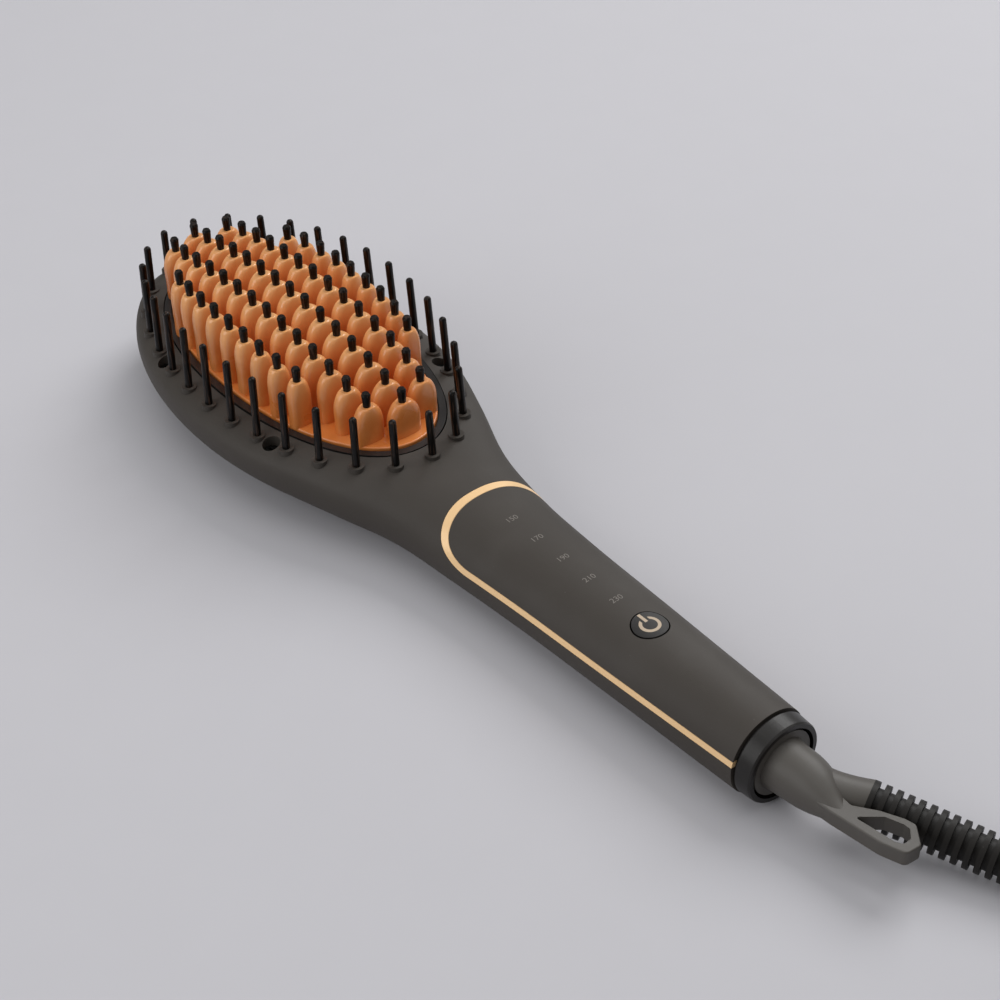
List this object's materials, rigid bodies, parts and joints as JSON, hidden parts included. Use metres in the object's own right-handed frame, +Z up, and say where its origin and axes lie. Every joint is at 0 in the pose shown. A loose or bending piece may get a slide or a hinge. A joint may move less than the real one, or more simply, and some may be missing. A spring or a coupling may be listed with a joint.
{
  "type": "hair straightener brush",
  "caption": "Heated hair straightening brush: oval head with a finned ceramic plate, nylon-tipped fins and a ring of guard bristles, button grip, swivel cord with hanging eye.",
  "frame": {"origin": "on the table under the middle of the brush, its cord left out", "axes": "+X along the brush from the head to the cord, +Y across it, +Z up from the back to the bristle tips"},
  "size_m": [0.5125, 0.0906, 0.0453],
  "materials": {
    "body_plastic": "soft-touch matt",
    "collar_plastic": "satin",
    "copper_trim": "metallised rose gold",
    "ceramic_plate": "glossy ceramic coating",
    "frame_plastic": "semi-gloss",
    "bristle_nylon": "smooth",
    "heater_ceramic": "sintered ceramic in foil",
    "film": "polyimide film",
    "clamp_metal": "plain",
    "screw_steel": "black zinc",
    "sensor": "moulded",
    "board_laminate": "solder mask",
    "lamp_white": "clear cap",
    "guide_clear": "clear acrylic",
    "component_black": "moulded",
    "capacitor_sleeve": "sleeve",
    "plunger_white": "moulded",
    "retainer_steel": "spring steel",
    "contact_brass": "plain",
    "relief_rubber": "matt",
    "lead_insulation": "silicone",
    "cord_jacket": "satin",
    "plug_plastic": "satin",
    "pin_metal": "nickel plated"
  },
  "bodies": {
    "brush": {"front_shell": "body_plastic", "back_shell": "body_plastic", "control_cover": "body_plastic", "tail_collar": "collar_plastic", "gold_trim": "copper_trim", "heating_plate": "ceramic_plate", "heater_frame": "frame_plastic", "heater_tray": "frame_plastic", "bristle_tufts": "bristle_nylon", "guard_bristles": "bristle_nylon", "ptc_heaters": "heater_ceramic", "insulation_film": "film", "clamp_plate": "clamp_metal", "clamp_screws": "screw_steel", "head_screws": "screw_steel", "grip_screws": "screw_steel", "board_screws": "screw_steel", "thermistor": "sensor", "thermal_fuse": "sensor", "control_board": "board_laminate", "indicator_lamps": "lamp_white", "light_guides": "guide_clear", "control_chip": "component_black", "triac": "component_black", "tact_switch": "component_black", "contact_carrier": "component_black", "mains_capacitor": "capacitor_sleeve", "contact_springs": "contact_brass", "heater_leads": "lead_insulation", "supply_leads": "lead_insulation"},
    "power_button": {"power_button": "body_plastic", "power_symbol": "copper_trim", "switch_plunger": "plunger_white"},
    "cord_swivel": {"swivel_neck": "collar_plastic", "hanging_eye": "collar_plastic", "swivel_retainer": "retainer_steel", "slip_rings": "contact_brass", "strain_relief": "relief_rubber", "power_cord": "cord_jacket", "cord_coil": "cord_jacket", "plug_lead": "cord_jacket", "plug_body": "plug_plastic", "plug_pins": "pin_metal"}
  },
  "joints": [
    {"name": "power_button", "type": "slide", "parent": "brush", "child": "power_button", "axis": [0, 0, -1], "range_m": [0, 0.0006], "stiffness_N_per_m": 1500, "springref_m": -0.0004},
    {"name": "cord_swivel", "type": "hinge", "parent": "brush", "child": "cord_swivel", "pos_m": [0.1046, 0, 0.0108], "axis": [1, 0, 0], "continuous": true}
  ]
}
